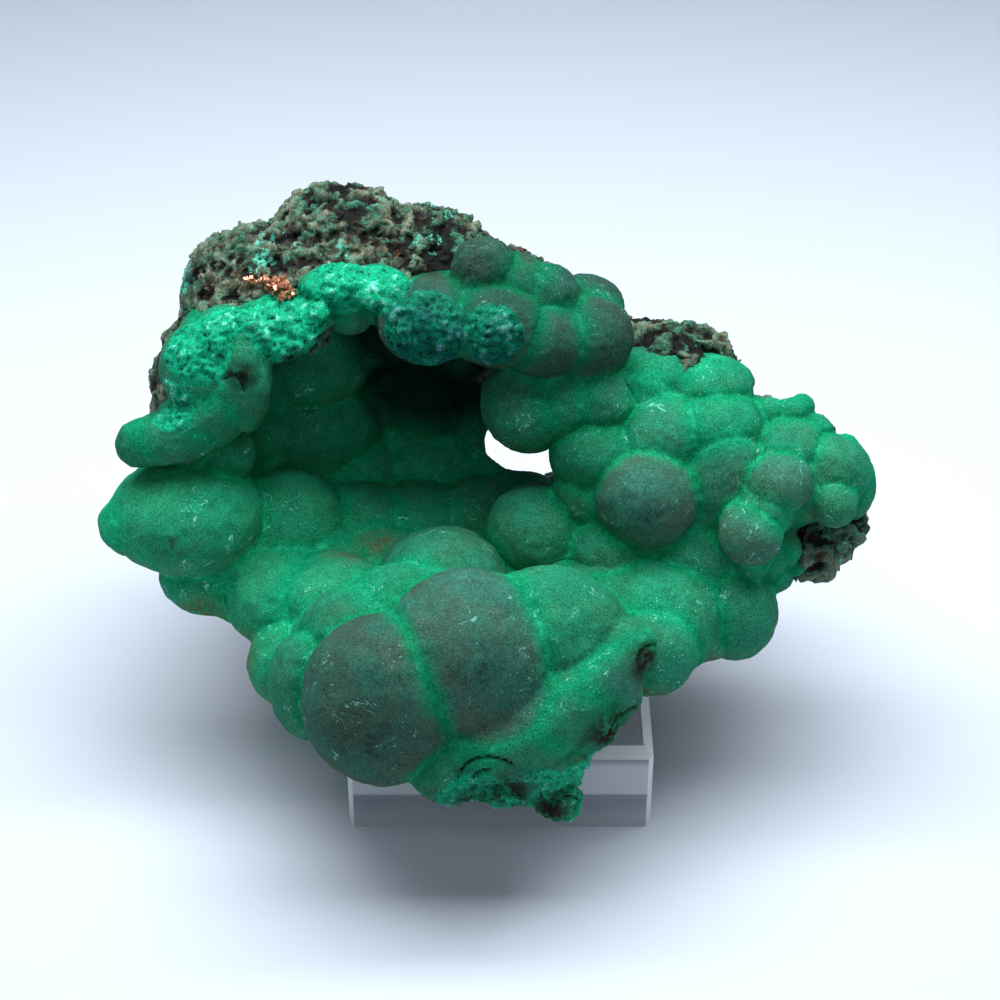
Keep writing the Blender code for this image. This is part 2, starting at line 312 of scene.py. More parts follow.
# rock that carries the crust, before the cave below is taken out of it
rockMasses = {
    "peak": (-40, 50, 112, 20, 22, 21),
    "peak, left": (-61, 42, 108, 18, 22, 18),
    "peak, right": (-20, 48, 108, 22, 22, 19),
    "roof slab": (-42, 34, 111, 30, 17, 13),
    "slope": (2, 42, 102, 20, 20, 16),
    "slope, right": (18, 40, 90, 18, 20, 16),
    "back": (-36, 64, 84, 38, 15, 34),
    "back, right": (36, 46, 76, 24, 18, 22),
    "left end": (-74, 36, 80, 15, 24, 26),
    "right crest": (44, 28, 92, 17, 14, 15),
    "right core": (44, 28, 72, 26, 18, 20),
    "back, left": (-60, 48, 62, 20, 18, 20),
    "right end": (66, 18, 70, 24, 19, 20),
    "right end, low": (78, 3, 62, 13, 13, 12),
    "right end, tip": (86, 5, 64, 8, 9, 10),
    "belly": (-4, 14, 42, 44, 40, 15),
    "belly, left": (-50, 18, 45, 30, 28, 14),
    "belly, back": (-20, 54, 50, 40, 20, 18),
    "belly, front": (-4, -30, 40, 32, 24, 12),
    "belly, right": (46, 6, 52, 26, 24, 18),
    "foot, front left": (-18, -20, 31, 12, 10, 6),
    "foot, front right": (20, -18, 31, 12, 10, 6),
    "foot, back": (0, 26, 31, 14, 10, 6),
}
cave = {
    "hall": (-29, 24, 85, 38, 30, 27),
    "mouth": (-28, -6, 92, 34, 30, 22),
    "right aisle": (4, 26, 72, 18, 22, 20),
    "notch": (-35, 19, 114, 7, 9, 7),
    "hollow by the gap": (-12, 44, 66, 18, 12, 12),
}

# rolled rims: a row of round lobes along a path, each point a middle and a half size
rolls = {
    "lip": [
        (-14, -57, 38, 7),
        (-2, -57, 44, 8),
        (8, -55, 48, 9),
        (16, -51, 53, 9),
        (23, -46, 57, 8),
        (30, -39, 60, 7),
    ],
    "drape": [(-89, 7, 87, 6), (-78, 6, 90, 7), (-69, 8, 96, 7), (-62, 9, 104, 7), (-62, 13, 113, 6)],
    "torn flap": [
        (-61, 13, 118, 3),
        (-58, 12, 115, 3),
        (-53, 11, 112, 3),
        (-48, 12, 113, 3),
        (-44, 15, 119, 3),
    ],
}
rollStep = 2.0  # mm between two lobes of a roll

# the gap of daylight through the back, and how it tilts in degrees
windowSize = (6, 62, 50, 13, 38, 10)
windowTilt = -34.6

# lobes spread evenly over the inside of the hall, left out over the gap, the front and the floor;
# the limits are shares of the hall's half width, depth and height
caveLining = {
    "middle": (-29, 25, 82),
    "half": (40, 34, 25),
    "count": 90,
    "size": 12,
    "unevenness": 0.25,
    "gapFrom": 0.3,
    "gapBelow": 0.35,
    "frontAt": 0.15,
    "archFront": 0.6,
    "archFrom": 0.3,
    "floorAt": -0.62,
}

# how dull a lobe's crown has worn: 0 stays velvet green, 1 is grey all over
plainWear = 0.45  # for a lobe that isn't listed
wornCrowns = {
    **{name: 0.25 for name in leftLobes},
    **{name: 0.3 for name in caveLobes},
    "big ball": 0.95,
    "crowned dome": 0.95,
    "dome's right swell": 0.35,
    "ridge": 0.3,
    "back hump": 0.55,
    "lip, right": 0.8,
    "lip, middle": 0.5,
    "wall dome": 0.9,
    "wall, long": 0.75,
    "outer ball": 0.8,
    "outer ball, middle": 0.7,
    "outer ball, low": 0.8,
    "hanging lobe": 0.5,
    "hanging lobe, right": 0.5,
    "wall, first": 0.3,
    "wall, third": 0.25,
    "roof edge, left": 0.95,
    "roof edge, middle": 0.95,
    "roof edge, right": 0.95,
    "roof edge, end": 0.95,
    "roof knob": 0.95,
    "roof knob, second": 0.95,
    "roof knob, third": 0.95,
    "roof knob, last": 0.95,
    "shoulder, front": 0.3,
    "end ball": 0.4,
    "far lobe": 0.25,
}

# lobes that look lighter or darker than the rest, partly by their own tone and partly by painted light and
# shade;
# the cave floor lobes are painted lighter to stand in for the light that reaches into the hall
lobeToneAndPaintedLight = {
    **{name: 0.62 for name in roofLobes if name.startswith("roof")},
    **{name: 1.1 for name in rightLobes},
    **{name: 1.3 for name in leftLobes},
    **{name: 1.25 for name in caveLobes if name.startswith("floor")},
    "wall, first": 0.9,
    "wall, second": 1.15,
    "wall, third": 1.1,
    "shoulder": 1.15,
    "shoulder, front": 1.1,
    "lip, left": 0.85,
    "big ball": 0.85,
}


def rollLobes(*names):
    lobes = {}
    for name in names or rolls:
        path = rolls[name]
        for start, end in zip(path, path[1:]):
            steps = math.ceil(math.dist(start[:3], end[:3]) / rollStep)
            for step in range(steps + 1):
                share = step / steps
                x, y, z, half = (a + (b - a) * share for a, b in zip(start, end))
                lobes[f"{name} {len(lobes)}"] = (x, y, z, half, half, half)
    return lobes


def liningLobes():
    lining = caveLining
    lobes = {}
    for count in range(lining["count"]):
        up = 1 - (2 * count + 1) / lining["count"]
        turn = count * math.pi * (3 - math.sqrt(5))
        flat = math.sqrt(1 - up * up)
        across = flat * math.cos(turn)
        away = flat * math.sin(turn)
        overWindow = across > lining["gapFrom"] and up < lining["gapBelow"]
        underArch = up > lining["archFrom"] and away < lining["archFront"]
        if overWindow or underArch or away < lining["frontAt"] or up < lining["floorAt"]:
            continue
        size = lining["size"] * (1 + lining["unevenness"] * math.sin(count * 2.4))
        middle = [m + h * d for m, h, d in zip(lining["middle"], lining["half"], (across, away, up))]
        lobes[f"lining {count}"] = (*middle, size, size, size)
    return lobes


def sameAs(table, names):
    return {name: table[name] for name in names}


# the separate lobes come first in the table of all lobes, so the first rows of its arrays are theirs
separateLobes = {**frontLobes, **leftLobes, **caveLobes, **roofLobes, **rightLobes}
allLobes = {**separateLobes, **crustBody, **rollLobes(), **liningLobes()}
lobeNames = list(allLobes)
lobeMiddles = np.array([allLobes[name][:3] for name in lobeNames], dtype=np.float32)
lobeHalves = np.array([allLobes[name][3:6] for name in lobeNames], dtype=np.float32)
lobeToneAndLight = np.array([lobeToneAndPaintedLight.get(name, 1.0) for name in lobeNames], dtype=np.float32)
lobeWear = np.array([wornCrowns.get(name, plainWear) for name in lobeNames], dtype=np.float32)


# distances in mm that the marks on the crust go by
surfaceMarks = {
    "blend": 0.8,  # over which one lobe's wear and shade turn into the next one's
    "reaches": (2.0, 4.5, 9.0),  # how far out the surface looks for its neighbours
    "seam": 0.9,
    "centre": 5.5,
}


def lobeGap(points, middle, half):
    # distance from a lobe's surface, less than 0 inside it
    scaled = (points - middle) / half
    reach = np.sqrt((scaled * scaled).sum(1)) + 1e-6
    slope = np.sqrt(((scaled / half) ** 2).sum(1)) + 1e-6
    return reach * (reach - 1) / slope


def crustGap(points):
    # distance to the nearest lobe of any kind
    nearest = np.full(len(points), 1e6, dtype=np.float32)
    for middle, half in zip(lobeMiddles, lobeHalves):
        nearest = np.minimum(nearest, lobeGap(points, middle, half))
    return nearest


def lobeSteps(points):
    # how much farther the next lobe is than the nearest, and how worn and how light the lobes here are
    nearest = np.full(len(points), 1e6, dtype=np.float32)
    second = nearest.copy()
    near = np.full(len(points), 1e-9, dtype=np.float32)
    worn = np.zeros(len(points), dtype=np.float32)
    shade = np.zeros(len(points), dtype=np.float32)
    rows = list(zip(lobeMiddles, lobeHalves, lobeWear, lobeToneAndLight))
    for middle, half, wear, light in rows[: len(separateLobes)]:
        gap = lobeGap(points, middle, half)
        closer = gap < nearest
        second = np.where(closer, nearest, np.minimum(second, gap))
        nearest = np.where(closer, gap, nearest)
        share = np.exp(-np.clip(gap, -6, 12) / surfaceMarks["blend"])
        near += share
        worn += share * wear
        shade += share * light
    return second - nearest, worn / near, shade / near


def meshPoints(piece):
    count = len(piece.data.vertices)
    points = np.empty(count * 3, dtype=np.float32)
    normals = np.empty(count * 3, dtype=np.float32)
    piece.data.vertices.foreach_get("co", points)
    piece.data.vertex_normals.foreach_get("vector", normals)
    points = (points.reshape(-1, 3) - np.array(home, dtype=np.float32)) / mm
    return points, normals.reshape(-1, 3)


def keepValues(piece, name, values):
    layer = piece.data.attributes.new(name, "FLOAT", "POINT")
    layer.data.foreach_set("value", np.ascontiguousarray(values, dtype=np.float32))


def nearSpots(points, spots, soft=0.35):
    # 1 inside a spot, fading out over its edge
    amount = np.zeros(len(points), dtype=np.float32)
    for x, y, z, reach in spots.values():
        away = np.sqrt(((points - (x, y, z)) ** 2).sum(1)) / reach
        amount = np.maximum(amount, np.clip((1 - away) / soft, 0, 1))
    return amount


def nearCracks(points, wide=0.6):
    # 1 along each crack: the part of a round shell on one side of its middle
    amount = np.zeros(len(points), dtype=np.float32)
    for crack in crackArcs.values():
        offset = points - np.array(crack["middle"], dtype=np.float32)
        away = np.sqrt((offset * offset).sum(1)) + 1e-6
        side = np.array(crack["side"], dtype=np.float32)
        facing = offset @ side / (away * np.sqrt((side * side).sum()))
        line = np.clip(1 - np.abs(away - crack["reach"]) / wide, 0, 1)
        amount = np.maximum(amount, line * np.clip((facing - 0.3) * 4, 0, 1))
    return amount


def weightGroup(piece, name, weights, levels=24):
    group = piece.vertex_groups.new(name=name)
    steps = np.rint(np.clip(weights, 0, 1) * levels).astype(int)
    for level in range(1, levels + 1):
        group.add(np.nonzero(steps == level)[0].tolist(), level / levels, "REPLACE")
    return group


def pressCreases(piece, deepest):
    # the skin follows its lobes down into each crease, and no deeper than this
    points, _ = meshPoints(piece)
    gap = crustGap(points)
    weightGroup(piece, "creases", 1 - np.exp(-np.clip(gap, 0, 20) / deepest))
    swell(piece, -deepest, "creases")


def markSurface(piece):
    points, normals = meshPoints(piece)
    free = np.zeros(len(points), dtype=np.float32)
    reaches = surfaceMarks["reaches"]
    for reach in reaches:
        gap = crustGap(points + normals * reach)
        free += np.clip(gap / reach, 0, 1) / len(reaches)
    step, worn, shade = lobeSteps(points)
    # shade: each lobe's brightness factor, partly painted light and shade
    keepValues(piece, "shade", shade)
    keepValues(piece, "crown", free)  # 1 where the surface stands free, towards 0 down in a crease
    keepValues(piece, "wear", worn)
    keepValues(piece, "seam", np.clip(1 - step / surfaceMarks["seam"], 0, 1))  # 1 where two lobes meet
    keepValues(piece, "centre", np.clip(step / surfaceMarks["centre"], 0, 1))  # 1 on a lobe's middle
    keepValues(piece, "fresh", nearSpots(points, freshSpots))
    keepValues(piece, "dirt", nearSpots(points, dirtSpots, 0.8))
    # painted shade: how much the surface faces down
    keepValues(piece, "underShade", np.clip(-normals[:, 2], 0, 1))
    keepValues(piece, "stain", nearSpots(points, stainSpots, 0.9))
    keepValues(piece, "burnt", nearSpots(points, burntSpots, 0.7))
    keepValues(piece, "crack", nearCracks(points))
    # painted shade in the depths of the hall
    keepValues(piece, "caveShade", nearSpots(points, caveShadeSpots, 0.4))
    keepValues(piece, "blue", nearSpots(points, blueSpots, 0.6))


# kinds of lump: the texture and its settings, which way it pushes, and the level that stays put
lumpKinds = {
    "clouds": {"texture": "CLOUDS", "settings": {"noise_depth": 3}, "way": "NORMAL", "level": 0.5},
    "cells": {"texture": "VORONOI", "settings": {}, "way": "NORMAL", "level": 0.5},
    "ridges": {
        "texture": "CLOUDS",
        "settings": {"noise_type": "HARD_NOISE", "noise_depth": 3},
        "way": "NORMAL",
        "level": 0.5,
    },
    "crumbs": {
        "texture": "CLOUDS",
        "settings": {"noise_type": "HARD_NOISE", "cloud_type": "COLOR"},
        "way": "RGB_TO_XYZ",
        "level": 0.36,
    },
}


def lumps(piece, layers, group=""):
    # each layer: kind, grain in mm, height in mm
    for index, (kindName, grain, height) in enumerate(layers):
        kind = lumpKinds[kindName]
        pattern = bpy.data.textures.new(f"{piece.name} {kindName} {index}", kind["texture"])
        pattern.noise_scale = grain * mm
        for name, value in kind["settings"].items():
            setattr(pattern, name, value)
        modify(
            piece,
            "DISPLACE",
            texture=pattern,
            texture_coords="LOCAL",
            direction=kind["way"],
            strength=height * mm,
            mid_level=kind["level"],
            vertex_group=group,
        )


def smoothShaded(piece):
    only(piece)
    bpy.ops.object.shade_smooth()


# spots, each a middle and a reach in millimetres; first, where the velvet has broken away to bright crystal
freshSpots = {
    "drape top": (-73, 10, 113, 11),
    "drape shoulder": (-67, 14, 122, 10),
    "drape slope": (-80, 6, 99, 8),
    "torn rim": (-52, 14, 118, 12),
    "arch": (-38, 20, 126, 11),
    "arch, right": (-28, 20, 124, 9),
    "roof edge": (-18, 8, 119, 12),
    "roof edge, middle": (-2, 6, 119, 9),
    "lip": (-5, -65, 33, 12),
    "lip, middle": (8, -66, 33, 13),
    "lip, knob": (18, -61, 33, 11),
    "lip, right": (24, -54, 42, 6),
}
# where that crystal is bluish
blueSpots = {
    "roof edge": (-16, 8, 116, 18),
    "roof edge, middle": (0, 6, 114, 14),
    "roof knob": (-4, 22, 130, 10),
    "roof knob, third": (10, 20, 122, 9),
}
# brown earth
dirtSpots = {
    "valley": (-38, -4, 62, 8),
    "valley, right": (-31, 3, 60, 7),
    "left rim": (-75, -10, 45, 9),
    "left rim, middle": (-63, -22, 43, 8),
    "left rim, low": (-54, -34, 37, 9),
    "lip fold": (24, -48, 46, 10),
    "shoulder edge": (34, -36, 42, 12),
    "lip edge": (18, -56, 36, 12),
    "corner": (50, -27, 38, 12),
    "far edge": (-92, -2, 58, 9),
}
# dark stains
stainSpots = {
    "big ball": (-31, -66, 54, 13),
    "crowned dome": (-4, -58, 70, 12),
    "far lobe": (-80, -10, 70, 9),
    "wall dome": (36, -14, 79, 8),
    "roof knob": (0, 16, 120, 12),
}
# nearly black patches along the broken rims
burntSpots = {
    "lip, right end": (24, -55, 48, 9),
    "lip, curled end": (34, -45, 60, 7),
    "lip, low": (11, -66, 30, 12),
    "lip, broken": (3, -66, 36, 11),
    "lip, low left": (-7, -66, 31, 10),
    "drape fold": (-62, 4, 109, 5),
    "torn flap": (-50, 8, 111, 4),
}
# pale dust on the rock
dustSpots = {
    "by the copper": (-52, 20, 122, 9),
    "over the arch": (-38, 28, 128, 10),
    "beside the arch": (-24, 28, 127, 8),
}
# cracks: each lies on one side of a round shell
crackArcs = {
    "lip": {"middle": (-2, -65, 40), "reach": 4.6, "side": (-0.8, 0.3, 0.5)},
    "lip, outer": {"middle": (-2, -65, 40), "reach": 7.8, "side": (-0.3, 0.4, 0.8)},
    "lip, right": {"middle": (30, -52, 44), "reach": 7.0, "side": (-0.4, 0.3, 0.9)},
    "knob": {"middle": (16, -64, 29), "reach": 4.6, "side": (-0.2, 0.4, 0.9)},
    "lip, curled end": {"middle": (35, -44, 59), "reach": 4.6, "side": (-0.2, 0.3, 0.9)},
    "drape": {"middle": (-66, 0, 106), "reach": 5.0, "side": (0.5, 0.4, 0.8)},
}
# painted shade: the darkest depths of the hall, painted nearly black
caveShadeSpots = {
    "back of the hall": (-19, 54, 84, 27),
    "right aisle": (0, 50, 86, 22),
    "ceiling": (-22, 42, 104, 24),
}

# each crust piece: its lobes, how narrow a gap it fills, how deep its creases run, its grid and its lumps
crustPieces = {
    "malachiteBowl": {
        "lobes": [
            frontLobes,
            leftLobes,
            rollLobes("lip"),
            sameAs(crustBody, ("bowl", "bowl, left", "bowl, right")),
        ],
        "fill": 3.5,
        "crease": 4.2,
        "grid": 0.72,
        "lumps": (("clouds", 16.0, 2.2), ("clouds", 4.0, 0.5)),
    },
    "malachiteWall": {
        "lobes": [rightLobes, sameAs(crustBody, ("wall", "wall, end", "neck", "shoulder body"))],
        "fill": 2.2,
        "crease": 4.0,
        "grid": 0.62,
        "lumps": (("clouds", 10.0, 1.4), ("clouds", 3.0, 0.5)),
    },
    "malachiteRoof": {
        "lobes": [
            roofLobes,
            rollLobes("drape", "torn flap"),
            sameAs(crustBody, ("left end", "roof, left", "roof")),
        ],
        "fill": 2.2,
        "crease": 3.4,
        "grid": 0.6,
        "lumps": (("clouds", 8.0, 1.6), ("clouds", 2.5, 0.6)),
    },
    "malachiteCave": {
        "lobes": [caveLobes, sameAs(crustBody, ("cave floor",)), liningLobes()],
        "fill": 4.0,
        "crease": 3.6,
        "grid": 0.85,
        "lumps": (("clouds", 12.0, 1.6), ("clouds", 3.0, 0.3)),
    },
}
crustBuild = {
    "coarseGrid": 1.1,
    "smoothing": 4,
    "brokenLumps": (("clouds", 4.5, 2.0), ("clouds", 1.8, 1.7), ("cells", 1.5, 1.0)),
    "crackDepth": 1.2,
}


def makeCrust(name):
    p = crustPieces[name]
    nothingSelected()
    lobes = [ball(size, grow=p["fill"]) for table in p["lobes"] for size in table.values()]
    piece = joined(lobes, name)
    remesh(piece, crustBuild["coarseGrid"])
    swell(piece, -p["fill"])  # back to size, narrow gaps left filled
    remesh(piece, p["grid"])
    modify(piece, "SMOOTH", factor=0.5, iterations=crustBuild["smoothing"])
    if name == "malachiteCave":
        gap = joined([ball(windowSize, tilt=windowTilt)], "gap")
        modify(piece, "BOOLEAN", operation="DIFFERENCE", object=gap)
        bpy.data.objects.remove(gap)
        remesh(piece, p["grid"])
    pressCreases(piece, p["crease"])
    lumps(piece, p["lumps"])
    points, normals = meshPoints(piece)
    weightGroup(piece, "broken", nearSpots(points, freshSpots))
    lumps(piece, crustBuild["brokenLumps"], "broken")
    moved, _ = meshPoints(piece)
    weightGroup(piece, "cracks", nearCracks(moved))
    swell(piece, -crustBuild["crackDepth"], "cracks")
    # how far the lumps moved the surface out or in, used for painted shade and highlight on the crystal
    keepValues(piece, "chip", ((moved - points) * normals).sum(1))
    markSurface(piece)
    smoothShaded(piece)
    piece.data.materials.clear()
    piece.data.materials.append(velvet)
    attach(piece, "root")
    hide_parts("malachite_specimen")
    print(name, len(piece.data.polygons), "faces")
    return piece


# the rock in two pieces: a fine one for the broken crest, a coarser one for the rest
rockPieces = {
    "rockCrest": {
        "masses": (
            "peak",
            "peak, left",
            "peak, right",
            "roof slab",
            "slope",
            "left end",
            "right crest",
        ),
        "grid": 0.62,
        "shrink": 0.3,
        "lumps": (
            ("clouds", 14.0, 4.0),
            ("ridges", 9.0, -4.0),
            ("crumbs", 4.0, 2.8),
            ("cells", 2.6, 1.4),
            ("crumbs", 1.4, 0.9),
        ),
    },
    "rockBody": {
        "masses": (
            "slope, right",
            "back",
            "back, right",
            "right core",
            "back, left",
            "right end",
            "right end, low",
            "right end, tip",
            "belly",
            "belly, left",
            "belly, back",
            "belly, front",
            "belly, right",
            "foot, front left",
            "foot, front right",
            "foot, back",
        ),
        "grid": 0.95,
        "shrink": 1.5,
        "lumps": (
            ("clouds", 14.0, 4.0),
            ("ridges", 9.0, -3.0),
            ("crumbs", 5.0, 4.0),
            ("cells", 3.4, 1.6),
        ),
    },
}


rockBuild = {"coarseGrid": 1.6, "smoothing": 25, "gapMargin": 1.5}


def makeRock(name):
    p = rockPieces[name]
    nothingSelected()
    rock = joined([ball(rockMasses[mass], detail=4) for mass in p["masses"]], name)
    remesh(rock, rockBuild["coarseGrid"])
    modify(rock, "SMOOTH", factor=0.5, iterations=rockBuild["smoothing"])
    hollow = joined([ball(size, detail=4) for size in cave.values()], "hollow")
    remesh(hollow, rockBuild["coarseGrid"])
    gap = joined([ball(windowSize, tilt=windowTilt, grow=rockBuild["gapMargin"])], "gap")
    for cutter in (hollow, gap):
        modify(rock, "BOOLEAN", operation="DIFFERENCE", object=cutter)
        bpy.data.objects.remove(cutter)
    remesh(rock, p["grid"])
    swell(rock, -p["shrink"])
    lumps(rock, p["lumps"][:1])  # the first layer is the rock's broad shape, and the rest is its relief
    before, normals = meshPoints(rock)
    lumps(rock, p["lumps"][1:])
    after, _ = meshPoints(rock)
    height = ((after - before) * normals).sum(1)
    low, high = np.percentile(height, (4, 96))
    keepValues(rock, "dusty", nearSpots(after, dustSpots, 0.8))
    keepValues(rock, "relief", np.clip((height - low) / (high - low), 0, 1))
    smoothShaded(rock)
    rock.data.materials.clear()
    rock.data.materials.append(roughRock)
    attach(rock, "root")
    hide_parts("malachite_specimen")
    print(name, len(rock.data.polygons), "faces")
    return rock


def newNode(tree, kind, **inputs):
    made = tree.nodes.new(kind)
    for name, value in inputs.items():
        made.inputs[name.replace("_", " ")].default_value = value
    return made


def noise(tree, coords, scale, detail=3.0, roughness=0.55, distortion=0.0):
    made = newNode(tree, "ShaderNodeTexNoise", Scale=scale, Detail=detail)
    made.inputs["Roughness"].default_value = roughness
    made.inputs["Distortion"].default_value = distortion
    tree.links.new(coords, made.inputs["Vector"])
    return made.outputs["Fac"]


def ramp(tree, value, stops, smooth=True):
    made = tree.nodes.new("ShaderNodeValToRGB")
    made.color_ramp.interpolation = "EASE" if smooth else "LINEAR"
    elements = made.color_ramp.elements
    while len(elements) < len(stops):
        elements.new(0.5)
    for element, (place, colour) in zip(elements, stops):
        element.position = place
        element.color = (*colour, 1) if isinstance(colour, tuple) else (colour, colour, colour, 1)
    tree.links.new(value, made.inputs["Fac"])
    return made.outputs["Color"]


def sums(tree, kind, first, second):
    made = tree.nodes.new("ShaderNodeMath")
    made.operation = kind
    made.use_clamp = kind in ("MULTIPLY", "ADD")
    for socket, value in zip(made.inputs, (first, second)):
        if isinstance(value, (int, float)):
            socket.default_value = value
        else:
            tree.links.new(value, socket)
    return made.outputs[0]


def plus(tree, first, second):
    return sums(tree, "ADD", first, second)


def times(tree, first, second):
    return sums(tree, "MULTIPLY", first, second)


def less(tree, first, second):
    return sums(tree, "SUBTRACT", first, second)


def peaks(tree, pattern, height):
    # only what stands above a noise pattern's middle
    return times(tree, less(tree, pattern, 0.5), height)


def mixed(tree, amount, first, second, how="MIX"):
    made = tree.nodes.new("ShaderNodeMix")
    made.data_type = "RGBA"
    made.blend_type = how
    for socket, value in ((made.inputs[0], amount), (made.inputs[6], first), (made.inputs[7], second)):
        if isinstance(value, (int, float)):
            socket.default_value = value
        elif isinstance(value, tuple):
            socket.default_value = (*value, 1)
        else:
            tree.links.new(value, socket)
    return made.outputs[2]


def shaded(tree, colour, shade):
    return mixed(tree, 1.0, colour, shade, "MULTIPLY")


def attribute(tree, name):
    made = tree.nodes.new("ShaderNodeAttribute")
    made.attribute_name = name
    return made.outputs["Fac"]


def blankMaterial(name):
    material = bpy.data.materials.new(name)
    material.use_nodes = True
    tree = material.node_tree
    coords = tree.nodes.new("ShaderNodeTexCoord").outputs["Object"]
    return material, tree, tree.nodes["Principled BSDF"], coords


velvetLook = {
    "crease": (0.001, 0.27, 0.11),
    "slope": (0.001, 0.205, 0.086),
    "crown": (0.003, 0.245, 0.112),
    "worn": (0.034, 0.140, 0.104),
    "brown": (0.056, 0.104, 0.078),
    "seam": (0.03, 0.40, 0.21),
    "scratch": (0.20, 0.56, 0.48),
    "pit": (0.01, 0.028, 0.02),
    # brown dirt; the same brown is also the painted shade on surfaces that face down
    "dirt": (0.075, 0.06, 0.026),
    "crystal": (0.004, 0.36, 0.18),
    "crystalLight": (0.15, 0.64, 0.50),
    "crystalDark": (0.004, 0.035, 0.026),
    "blueTint": (0.8, 0.36, 0.60),
    # painted shade, nearly black, for the depths of the hall
    "caveShadeColour": (0.0015, 0.003, 0.004),
    "burnt": (0.012, 0.011, 0.006),
    "stain": (0.018, 0.042, 0.034),
}
# each noise: how many to a metre, its detail, its roughness and its distortion
velvetNoises = {
    "mottle": (260, 6, 0.7),
    "cloud": (70, 4, 0.6),
    "grain": (2300, 2, 0.6),
    "patches": (90, 2, 0.5),
    "threads": (150, 2, 0.5, 1.6),
    "pieces": (310, 1, 0.5),
    "pits": (700, 3, 0.7),
    "flakes": (620, 7, 0.85, 0.4),
}
velvetCells = {"specks": 640, "sparkle": 1300}  # how many to a metre


def cells(tree, coords, scale):
    made = newNode(tree, "ShaderNodeTexVoronoi", Scale=scale)
    tree.links.new(coords, made.inputs["Vector"])
    return made.outputs["Distance"]


def velvetMaterial():
    look = velvetLook
    material, tree, shader, coords = blankMaterial("malachiteVelvet")
    pattern = {name: noise(tree, coords, *values) for name, values in velvetNoises.items()}
    mottle, cloud, grain = pattern["mottle"], pattern["cloud"], pattern["grain"]
    crown = attribute(tree, "crown")
    wear = attribute(tree, "wear")
    shifted = plus(tree, crown, peaks(tree, mottle, 0.3))
    green = ramp(tree, shifted, ((0.25, look["crease"]), (0.6, look["slope"]), (1.0, look["crown"])))

    # worn crowns, from each lobe's middle outwards, and the light line where two lobes meet
    dull = mixed(tree, ramp(tree, cloud, ((0.38, 0.0), (0.66, 1.0))), look["worn"], look["brown"])
    centre = plus(tree, attribute(tree, "centre"), peaks(tree, cloud, 1.1))
    centre = plus(tree, centre, peaks(tree, mottle, 0.4))
    colour = mixed(tree, times(tree, ramp(tree, centre, ((0.0, 0.0), (0.85, 1.0))), wear), green, dull)
    seam = times(tree, attribute(tree, "seam"), ramp(tree, mottle, ((0.45, 0.0), (0.65, 0.45))))
    colour = mixed(tree, seam, colour, look["seam"])

    # scratches and specks lie mostly on the crowns, in patches
    patches = ramp(tree, pattern["patches"], ((0.47, 0.0), (0.61, 1.0)))
    marked = times(tree, patches, ramp(tree, crown, ((0.55, 0.15), (0.85, 1.0))))
    threads = sums(tree, "ABSOLUTE", less(tree, pattern["threads"], 0.5), 0)
    pieces = ramp(tree, pattern["pieces"], ((0.56, 0.0), (0.61, 0.9)))
    scratches = times(tree, ramp(tree, threads, ((0.006, 1.0), (0.014, 0.0))), pieces)
    specks = ramp(tree, cells(tree, coords, velvetCells["specks"]), ((0.07, 0.8), (0.14, 0.0)))
    scratches = sums(tree, "MAXIMUM", scratches, specks)
    sparkle = ramp(tree, cells(tree, coords, velvetCells["sparkle"]), ((0.08, 0.3), (0.16, 0.0)))
    colour = mixed(tree, times(tree, sparkle, crown), colour, look["scratch"])
    colour = mixed(tree, times(tree, scratches, marked), colour, look["scratch"])

    # small pits, dark stains and brown dirt, and the same brown laid on surfaces that face down as painted
    # shade
    pits = times(tree, ramp(tree, pattern["pits"], ((0.30, 1.0), (0.38, 0.0))), wear)
    pits = times(tree, pits, ramp(tree, cloud, ((0.45, 0.0), (0.6, 1.0))))
    colour = mixed(tree, pits, colour, look["pit"])
    stained = times(tree, attribute(tree, "stain"), ramp(tree, mottle, ((0.46, 0.0), (0.58, 0.85))))
    colour = mixed(tree, stained, colour, look["stain"])
    dirtAndUnderShade = plus(tree, attribute(tree, "dirt"), times(tree, attribute(tree, "underShade"), 0.75))
    dirtAndUnderShade = times(tree, dirtAndUnderShade, ramp(tree, mottle, ((0.36, 0.0), (0.62, 0.85))))
    colour = mixed(tree, dirtAndUnderShade, colour, look["dirt"])

    # bright crystal where the velvet has broken away, with light flakes; the chip relief paints it darker in
    # its pits as painted shade and lighter where it stands out as a painted highlight
    flakes = plus(tree, pattern["flakes"], times(tree, attribute(tree, "chip"), 0.26))
    crystal = ramp(
        tree,
        flakes,
        (
            (0.40, look["crystalDark"]),
            (0.5, look["crystal"]),
            (0.6, look["crystal"]),
            (0.71, look["crystalLight"]),
        ),
    )
    blue = times(tree, attribute(tree, "blue"), ramp(tree, mottle, ((0.35, 0.2), (0.6, 1.0))))
    crystal = mixed(tree, blue, crystal, shaded(tree, crystal, look["blueTint"]))
    broken = plus(tree, attribute(tree, "fresh"), peaks(tree, cloud, 1.2))
    broken = ramp(tree, broken, ((0.35, 0.0), (0.6, 1.0)))
    colour = mixed(tree, broken, colour, crystal)
    burnt = times(tree, attribute(tree, "burnt"), ramp(tree, mottle, ((0.36, 0.0), (0.52, 1.0))))
    burnt = sums(tree, "MAXIMUM", burnt, ramp(tree, attribute(tree, "crack"), ((0.2, 0.0), (0.7, 0.95))))
    colour = mixed(tree, burnt, colour, look["burnt"])
    # painted shade: the depths of the hall turn nearly black
    colour = mixed(tree, ramp(tree, attribute(tree, "caveShade"), ((0.0, 0.0), (1.0, 0.9))), colour, look["caveShadeColour"])

    colour = shaded(tree, colour, ramp(tree, grain, ((0.3, 0.56), (0.7, 1.42)), smooth=False))
    colour = shaded(tree, colour, ramp(tree, mottle, ((0.32, 0.8), (0.68, 1.2)), smooth=False))
